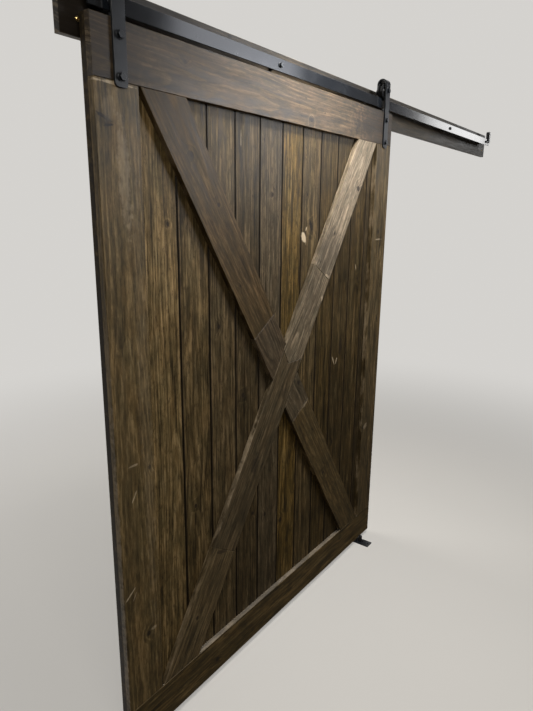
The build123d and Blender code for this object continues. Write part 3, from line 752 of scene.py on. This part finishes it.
def plated_steel(name, plating, line_scales):
    """Bright plated steel with fine drawn lines, scaled per metre, and dulled patches."""
    finish = Finish(name)
    local = finish.coordinates()
    lines = finish.noise(local, line_scales)
    dull = finish.noise(local, (90, 90, 90), detail=3.0)
    dark = tuple(level * 0.55 for level in plating)
    colour = finish.mix(finish.rise(dull, 0.45, 0.8) * 0.7, plating, dark)
    rough = 0.26 + (dull - 0.5) * 0.3 + (lines - 0.5) * 0.2
    return finish.surface(
        height=lines * LINE_RELIEF, Base_Color=colour, Metallic=0.95, Roughness=finish.clamp(rough),
    )


def turned_nylon(name, colour, centre, axis):
    """Turned nylon: fine circles about the axis that the piece turns on."""
    finish = Finish(name)
    local = finish.coordinates(centre)
    across = tuple(0.0 if index == axis else 1.0 for index in range(3))
    radius = finish.length(finish.vector("MULTIPLY", local, across))
    circles = finish.math("SINE", radius * TOOL_MARKS)
    wear = finish.noise(local, (140, 140, 140), detail=3.0)
    pale = tuple(level * 1.8 for level in colour)
    return finish.surface(
        height=circles * TOOL_MARK_RELIEF + wear * WEAR_RELIEF,
        Base_Color=finish.mix(finish.rise(wear, 0.5, 0.8) * 0.6, colour, pale),
        Roughness=finish.clamp(0.24 + (wear - 0.5) * 0.25),
    )


def moulded_rubber(name, colour):
    """Matt rubber with a fine grain and a little dust."""
    finish = Finish(name)
    local = finish.coordinates()
    grain = finish.noise(local, (700, 700, 700))
    dust = finish.noise(local, (120, 120, 120), detail=3.0)
    pale = tuple(level * 3.0 for level in colour)
    return finish.surface(
        height=grain * RUBBER_RELIEF,
        Base_Color=finish.mix(finish.rise(dust, 0.5, 0.8) * 0.6, colour, pale),
        Roughness=finish.clamp(0.78 + (dust - 0.5) * 0.2),
    )


# Solids that share a finish, by the start of their names or by their whole names
COATED = ("hanger_strap", "end_stop", "track_spacers", "guide_plate")
COATED_BOLTS = (
    "hanger_bolts", "hanger_nuts", "axle_bolts", "axle_nuts", "track_lag_bolts", "stop_set_screws",
    "guide_studs",
)
PLATED = ("wheel_bearing", "axle_sleeves", "axle_tubes", "anti_jump_screws")


def dress(node_name, material):
    """Give a solid its finish."""
    materials = nodes[node_name].data.materials
    materials.clear()
    materials.append(material)


# Turn of the grain of level and upright boards
LEVEL = 0.0
PLUMB = math.pi / 2

# A joint this near to a panel board's middle, in metres, is one of its own
JOINT_REACH = 0.09


def dress_boards(boards, settings, turn, half_length, half_width, first_seed, centre=None, joints=()):
    """Give each board of a set its own stained wood. Boards of one line may share its centre."""
    for seed, (name, board) in enumerate(boards.items(), first_seed):
        middle = middle_of(name) if centre is None else centre
        near = [middle.x - joint for joint in joints if abs(joint - middle.x) < JOINT_REACH]
        wood = stained_wood(name, board, settings, middle, turn, half_length, half_width, seed, near)
        dress(name, wood)


class ScrewHead(NamedTuple):
    """A screw's head in metres: its height, the height of its rim and the radius of its star recess."""

    height: float
    rim: float
    recess: float


WASHER_HEAD = ScrewHead(0.0034, 0.0014, 0.0029)
PAN_HEAD = ScrewHead(0.0027, 0.0009, 0.0022)
FLAT_HEAD = ScrewHead(0.0009, 0.0005, 0.0018)
STAR_LOBES = 6
STAR_DEPTH = 0.32

# Board screws: how far above and below a rail's middle they stand as a share of its height, and the board
# width below which one column of them will do. They stay clear of the hangers' washers.
BOARD_SCREW_RISE = 0.28
NARROW_BOARD = 0.1
WASHER_RADIUS = 0.012


def turned(profile, steps):
    """Spin a half outline of (radius, height) points round the Z axis."""
    shape = bmesh.new()
    points = [shape.verts.new((radius, 0.0, height)) for radius, height in profile]
    lines = [shape.edges.new(pair) for pair in zip(points, points[1:])]
    bmesh.ops.spin(
        shape, geom=points + lines, cent=(0, 0, 0), axis=(0, 0, 1), angle=math.tau,
        steps=steps, use_merge=True, use_duplicate=False,
    )
    bmesh.ops.remove_doubles(shape, verts=shape.verts, dist=1e-6)
    return shape


def sink_star(shape, depth):
    """Draw the open rim in a screw head in to a star, sink it and close its floor."""
    rim = [edge for edge in shape.edges if edge.is_boundary]
    grown = bmesh.ops.extrude_edge_only(shape, edges=rim)["geom"]
    star = [item for item in grown if isinstance(item, bmesh.types.BMEdge)]
    for point in (item for item in grown if isinstance(item, bmesh.types.BMVert)):
        turn = math.atan2(point.co.y, point.co.x)
        share = 1.0 - STAR_DEPTH * (0.5 - 0.5 * math.cos(STAR_LOBES * turn))
        point.co.x *= share
        point.co.y *= share
    sunk = bmesh.ops.extrude_edge_only(shape, edges=star)["geom"]
    floor = [item for item in sunk if isinstance(item, bmesh.types.BMVert)]
    bmesh.ops.translate(shape, verts=floor, vec=(0, 0, -depth))
    bmesh.ops.contextual_create(shape, geom=floor)


def screw(head_radius, head, shank_radius, length, steps):
    """Screw with its washer face at Z 0, its head above and its point below."""
    shape = turned(
        [
            (0.0, -length),
            (shank_radius * 0.9, -length + shank_radius * 2.5),
            (shank_radius, -length + shank_radius * 3.5),
            (shank_radius, 0.0),
            (head_radius - 0.0003, 0.0),
            (head_radius, head.rim * 0.4),
            (head_radius - 0.0002, head.rim),
            (head_radius * 0.74, head.rim + (head.height - head.rim) * 0.65),
            (head.recess * 1.15, head.height),
            (head.recess, head.height - 0.0001),
        ],
        steps,
    )
    sink_star(shape, head.height * 0.75)
    bmesh.ops.recalc_face_normals(shape, faces=shape.faces)
    return shape


def mesh_of(shape, name):
    """Turn a bmesh into a mesh. The bmesh is used up."""
    mesh = bpy.data.meshes.new(name)
    shape.to_mesh(mesh)
    shape.free()
    return mesh


def repeated(shape, places):
    """One mesh with a copy of the shape at each place. The shape itself is used up."""
    single = mesh_of(shape, "single")
    whole = bmesh.new()
    for place in places:
        before = len(whole.verts)
        whole.from_mesh(single)
        whole.verts.ensure_lookup_table()
        bmesh.ops.transform(whole, matrix=place, verts=whole.verts[before:])
    bpy.data.meshes.remove(single)
    return whole


def put_in_scene(name, data):
    """A new object in the scene."""
    made = bpy.data.objects.new(name, data)
    bpy.context.scene.collection.objects.link(made)
    return made


def add_piece(name, shape, material, body):
    """Make a piece of the object from a finished bmesh, with its place in its mesh."""
    mesh = mesh_of(shape, name)
    mesh.polygons.foreach_set("use_smooth", [True] * len(mesh.polygons))
    mesh.set_sharp_from_angle(angle=math.radians(32))
    mesh.materials.append(material)
    piece = put_in_scene(name, mesh)
    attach(piece, body)


FACING_FRONT = Matrix.Rotation(math.radians(90), 4, "X")
FACING_BACK = Matrix.Rotation(math.radians(-90), 4, "X")
UPRIGHT = Matrix.Identity(4)


def placed(point, facing, turn):
    """A place for a screw: its point, the way its head faces and a turn about itself."""
    return Matrix.Translation(point) @ facing @ Matrix.Rotation(turn, 4, "Z")


class BARN_DOOR_OT_frame_boards(Operator):
    """Stain the rails and stiles of the door's frame"""

    bl_idname = "barn_door.frame_boards"
    bl_label = "Frame Boards"

    def execute(self, context):
        settings = context.scene.barn_door.boards
        rail, stile = size_of("rail_top"), size_of("stile_left")
        dress_boards(RAILS, settings, LEVEL, rail.x / 2, rail.z / 2, RAIL_SEED)
        dress_boards(STILES, settings, PLUMB, stile.z / 2, stile.x / 2, STILE_SEED)
        return {"FINISHED"}


class BARN_DOOR_OT_brace_boards(Operator):
    """Stain the boards of the X brace"""

    bl_idname = "barn_door.brace_boards"
    bl_label = "Brace Boards"

    def execute(self, context):
        settings = context.scene.barn_door.boards
        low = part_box("rail_bottom")[1]
        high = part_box("rail_top")[0]
        crossing = Vector(((low.x + high.x) / 2, middle_of("rail_top").y, (low.z + high.z) / 2))
        half_width = size_of("stile_left").x / 2
        reach = (high - low).length
        for boards, way, seed in ((FALLING_BOARDS, -1, FALLING_SEED), (RISING_BOARDS, 1, RISING_SEED)):
            turn = way * settings.brace_angle
            dress_boards(boards, settings, turn, reach, half_width, seed, centre=crossing)
        return {"FINISHED"}


class BARN_DOOR_OT_panel_boards(Operator):
    """Stain the upright boards behind the frame"""

    bl_idname = "barn_door.panel_boards"
    bl_label = "Panel Boards"

    def execute(self, context):
        settings = context.scene.barn_door.boards
        board = size_of("panel_board_04")
        joints = [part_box(name)[0].x for name in list(PANEL_BOARDS)[1:]]
        dress_boards(PANEL_BOARDS, settings, PLUMB, board.z / 2, board.x, PANEL_SEED, joints=joints)
        return {"FINISHED"}


class BARN_DOOR_OT_header(Operator):
    """Stain the header board"""

    bl_idname = "barn_door.header"
    bl_label = "Header Board"

    def execute(self, context):
        header = size_of("header_board")
        settings = context.scene.barn_door.boards
        dress_boards(HEADER_BOARDS, settings, LEVEL, header.x / 2, header.z / 2, HEADER_SEED)
        return {"FINISHED"}


class BARN_DOOR_OT_hardware(Operator):
    """Coat the track, the hangers, the stops, the bolts and the floor guide"""

    bl_idname = "barn_door.hardware"
    bl_label = "Coated Hardware"

    def execute(self, context):
        settings = context.scene.barn_door.steel
        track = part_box("track_bar")
        worn_top = (middle_of("track_bar").y, track[1].z)
        dress("track_bar", coated_steel("track_coat", settings, roughness=0.15, worn_top=worn_top))
        coat = coated_steel("hardware_coat", settings, settings.coat_roughness)
        bolt_coat = coated_steel("bolt_coat", settings, roughness=0.3)
        for name in nodes:
            if name.startswith(COATED):
                dress(name, coat)
            elif name in COATED_BOLTS:
                dress(name, bolt_coat)
        return {"FINISHED"}


class BARN_DOOR_OT_wheels(Operator):
    """Finish the wheels, their bearings and axles, the discs, the rollers and the bumpers"""

    bl_idname = "barn_door.wheels"
    bl_label = "Wheels and Rollers"

    def execute(self, context):
        settings = context.scene.barn_door.steel
        nylon = settings.nylon_colour
        for side in ("left", "right"):
            axle = joints[f"{side}_wheel_turn"]["pos_m"]
            dress(f"wheel_{side}", turned_nylon(f"wheel_{side}_nylon", nylon, axle, 1))
        for side in ("front", "back"):
            stud = joints[f"{side}_roller_turn"]["pos_m"]
            dress(f"guide_roller_{side}", turned_nylon(f"roller_{side}_nylon", nylon, stud, 2))
        dress("anti_jump_discs", turned_nylon("disc_nylon", nylon, middle_of("anti_jump_discs"), 2))
        steel = plated_steel("plated_steel", settings.steel_colour, line_scales=(40, 900, 900))
        for name in nodes:
            if name.startswith(PLATED):
                dress(name, steel)
            elif name.startswith("stop_bumper"):
                dress(name, moulded_rubber(f"{name}_rubber", settings.rubber_colour))
        return {"FINISHED"}


class BARN_DOOR_OT_header_screws(Operator):
    """Put the yellow screws in the header's four holes"""

    bl_idname = "barn_door.header_screws"
    bl_label = "Header Screws"

    def execute(self, context):
        screws = context.scene.barn_door.screws
        mount = mounts["header_fixings"]
        middle = Vector(mount["pos_m"])
        half_span = mount["dims"]["spacing_x_mm"] * mm / 2
        half_rise = mount["dims"]["spacing_y_mm"] * mm / 2
        length = size_of("header_board").y - 0.001
        shape = screw(screws.header_head_radius, WASHER_HEAD, screws.shank_radius, length, screws.steps)
        corners = [(x, z) for x in (-half_span, half_span) for z in (-half_rise, half_rise)]
        places = [
            placed(middle + Vector((x, 0, z)), FACING_FRONT, 0.3 + index * 0.9)
            for index, (x, z) in enumerate(corners)
        ]
        plating = context.scene.barn_door.steel.brass_colour
        brass = plated_steel("yellow_zinc", plating, line_scales=(300, 300, 300))
        add_piece("header_screws", repeated(shape, places), brass, "header")
        return {"FINISHED"}


class BARN_DOOR_OT_guide_screws(Operator):
    """Put the floor screws in the guide plate's two holes"""

    bl_idname = "barn_door.guide_screws"
    bl_label = "Guide Screws"

    def execute(self, context):
        screws = context.scene.barn_door.screws
        mount = mounts["guide_floor_screws"]
        middle = Vector(mount["pos_m"])
        half_span = mount["dims"]["spacing_y_mm"] * mm / 2
        length = size_of("guide_plate").z - 0.0002
        shape = screw(screws.guide_head_radius, PAN_HEAD, screws.shank_radius, length, screws.steps)
        places = [
            placed(middle + Vector((0, y, 0)), UPRIGHT, 0.4 + y * 30) for y in (-half_span, half_span)
        ]
        coat = coated_steel("screw_coat", context.scene.barn_door.steel, roughness=0.25)
        add_piece("guide_screws", repeated(shape, places), coat, "header")
        return {"FINISHED"}


class BARN_DOOR_OT_board_screws(Operator):
    """Put the screws in the door's back that hold the panel boards to the frame"""

    bl_idname = "barn_door.board_screws"
    bl_label = "Board Screws"

    def execute(self, context):
        screws = context.scene.barn_door.screws
        door_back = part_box("panel_board_01")[1].y
        rails = [middle_of(name).z for name in ("rail_bottom", "rail_top")]
        rise = size_of("rail_top").z * BOARD_SCREW_RISE
        shank_radius = screws.shank_radius * 0.7
        shape = screw(screws.board_head_radius, FLAT_HEAD, shank_radius, length=0.025, steps=12)
        columns = []
        for name in PANEL_BOARDS:
            low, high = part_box(name)
            width = high.x - low.x
            shares = (0.25, 0.75) if width > NARROW_BOARD else (0.4,)
            columns += [low.x + width * share for share in shares]
        holes = [(x, rail + side * rise) for x in columns for rail in rails for side in (-1, 1)]
        low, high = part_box("hanger_nuts")
        heights = (low.z + WASHER_RADIUS, high.z - WASHER_RADIUS)
        nuts = [(middle_of(f"hanger_strap_{side}").x, z) for side in ("left", "right") for z in heights]
        clear = [
            (x, z) for x, z in holes
            if all(math.hypot(x - nut_x, z - nut_z) > 2 * WASHER_RADIUS for nut_x, nut_z in nuts)
        ]
        places = [
            placed(Vector((x, door_back, z)), FACING_BACK, index * 1.7) for index, (x, z) in enumerate(clear)
        ]
        plating = context.scene.barn_door.steel.steel_colour
        steel = plated_steel("board_screw_zinc", plating, line_scales=(200, 200, 200))
        add_piece("board_screws", repeated(shape, places), steel, "door")
        return {"FINISHED"}


class BARN_DOOR_OT_stage(Operator):
    """Make the floor, the lamps, the pale surroundings and the camera"""

    bl_idname = "barn_door.stage"
    bl_label = "Stage"

    def execute(self, context):
        stage = context.scene.barn_door.stage
        self.make_floor(stage)
        self.make_world(context.scene, stage)
        for name, lamp in LAMPS.items():
            self.make_lamp(name, lamp)
        self.make_camera(context.scene, stage)
        return {"FINISHED"}

    def surroundings(self, sheet, direction, stage):
        """Colour of the studio in a direction, and 1 for rays that show it but 0 for its light."""
        seen = sheet.ray("Camera")
        shown = sheet.larger(sheet.larger(seen, sheet.ray("Glossy")), sheet.ray("Transmission"))
        # Reflections see the dim front of the studio and, past a soft change, the pale backdrop
        behind = sheet.larger(seen, sheet.rise(sheet.part(direction, 1), -0.12, 0.12))
        return sheet.mix(behind, stage.front_colour, stage.backdrop_colour), shown

    def make_floor(self, stage):
        """Round floor under the door that fades into the surroundings far away."""
        shape = bmesh.new()
        bmesh.ops.create_circle(shape, cap_ends=True, segments=96, radius=stage.floor_reach)
        bmesh.ops.translate(shape, verts=shape.verts, vec=(0, 0, cad_box[0].z))
        mesh = mesh_of(shape, "floor")
        sheet = Finish("pale_floor")
        place = sheet.coordinates((-0.4, 0.0, cad_box[0].z))
        distance = sheet.length(place)
        cloud = sheet.noise(place, (1.3, 1.3, 1.3), detail=4.0)
        darker = tuple(level * 0.93 for level in stage.floor_colour)
        colour, shown = self.surroundings(sheet, sheet.vector("NORMALIZE", place), stage)
        tint = sheet.mix(cloud, stage.floor_colour, darker)
        tint = sheet.mix(shown, stage.bounce_colour, tint)
        matt = sheet.node("ShaderNodeBsdfDiffuse", inputs={"Color": tint})
        far = sheet.node("ShaderNodeEmission", inputs={"Color": colour, "Strength": shown})
        fade = sheet.rise(distance, 1.0, 4.5) * 0.55 + 0.45
        share = sheet.larger(fade, sheet.ray("Glossy"))
        mixed = sheet.node("ShaderNodeMixShader", inputs={0: share, 1: matt, 2: far})
        sheet.node("ShaderNodeOutputMaterial", inputs={"Surface": mixed})
        mesh.materials.append(sheet.material)
        floor = put_in_scene("floor", mesh)

    def make_world(self, scene, stage):
        """Pale surroundings for the camera and for reflections, and a softer even light on the door."""
        scene.world = bpy.data.worlds.new("studio")
        scene.world.use_nodes = True
        sheet = NodeSheet(scene.world.node_tree)
        direction = sheet.node("ShaderNodeTexCoord", output="Generated")
        colour, shown = self.surroundings(sheet, direction, stage)
        ambient = {"Color": (*stage.ambient_colour, 1), "Strength": stage.ambient}
        even = sheet.node("ShaderNodeBackground", inputs=ambient)
        pale = sheet.node("ShaderNodeBackground", inputs={"Color": colour, "Strength": 1.0})
        mixed = sheet.node("ShaderNodeMixShader", inputs={0: shown, 1: even, 2: pale})
        sheet.node("ShaderNodeOutputWorld", inputs={"Surface": mixed})

    def make_lamp(self, name, lamp):
        """Hang one of the lamps."""
        light = bpy.data.lights.new(name, "SPOT" if lamp.cone else "AREA")
        if lamp.cone:
            light.spot_size = math.radians(lamp.cone)
            light.spot_blend = 0.7
            light.shadow_soft_size = lamp.side / 2
        else:
            light.shape = "SQUARE"
            light.size = lamp.side
        light.energy = lamp.power
        light.color = lamp.colour
        made = put_in_scene(name, light)
        made.location = lamp.place
        facing = Vector(lamp.target) - Vector(lamp.place)
        made.rotation_euler = facing.to_track_quat("-Z", "Y").to_euler()

    def make_camera(self, scene, stage):
        """Camera near the door's left end that looks along it, slightly down."""
        data = bpy.data.cameras.new("camera")
        data.sensor_fit = "VERTICAL"
        data.sensor_width = data.sensor_height = 36.0
        data.lens = stage.lens
        data.clip_start = 0.05
        camera = put_in_scene("camera", data)
        turn = Matrix.Rotation(-stage.camera_heading, 4, "Z")
        lift = Matrix.Rotation(math.pi / 2 + stage.camera_tilt, 4, "X")
        roll = Matrix.Rotation(stage.camera_roll, 4, "Z")
        camera.matrix_world = Matrix.Translation(stage.camera_place) @ turn @ lift @ roll
        scene.camera = camera
        scene.view_settings.view_transform = "Standard"


class BARN_DOOR_PT_panel(Panel):
    """Steps and settings of the barn door"""

    bl_idname = "BARN_DOOR_PT_panel"
    bl_label = "Barn Door"
    bl_space_type = "VIEW_3D"
    bl_region_type = "UI"
    bl_category = "Barn Door"

    def draw(self, context):
        settings = context.scene.barn_door
        for step in STEPS:
            self.layout.operator(step.bl_idname)
        for group in (settings.boards, settings.steel, settings.screws, settings.stage):
            box = self.layout.box()
            for name in group.__annotations__:
                box.prop(group, name)


STEPS = (
    BARN_DOOR_OT_stage,
    BARN_DOOR_OT_frame_boards,
    BARN_DOOR_OT_brace_boards,
    BARN_DOOR_OT_panel_boards,
    BARN_DOOR_OT_header,
    BARN_DOOR_OT_hardware,
    BARN_DOOR_OT_wheels,
    BARN_DOOR_OT_header_screws,
    BARN_DOOR_OT_guide_screws,
    BARN_DOOR_OT_board_screws,
)
CLASSES = (
    BoardSettings, SteelSettings, ScrewSettings, StageSettings, BarnDoorSettings, *STEPS, BARN_DOOR_PT_panel,
)


def register():
    for made in CLASSES:
        bpy.utils.register_class(made)
    bpy.types.Scene.barn_door = PointerProperty(type=BarnDoorSettings)


def unregister():
    del bpy.types.Scene.barn_door
    for made in reversed(CLASSES):
        bpy.utils.unregister_class(made)


def main():
    register()
    bpy.ops.barn_door.stage()
    bpy.ops.barn_door.frame_boards()
    bpy.ops.barn_door.brace_boards()
    bpy.ops.barn_door.panel_boards()
    bpy.ops.barn_door.header()
    bpy.ops.barn_door.hardware()
    bpy.ops.barn_door.wheels()
    bpy.ops.barn_door.header_screws()
    bpy.ops.barn_door.guide_screws()
    bpy.ops.barn_door.board_screws()


if __name__ == "__main__":
    main()
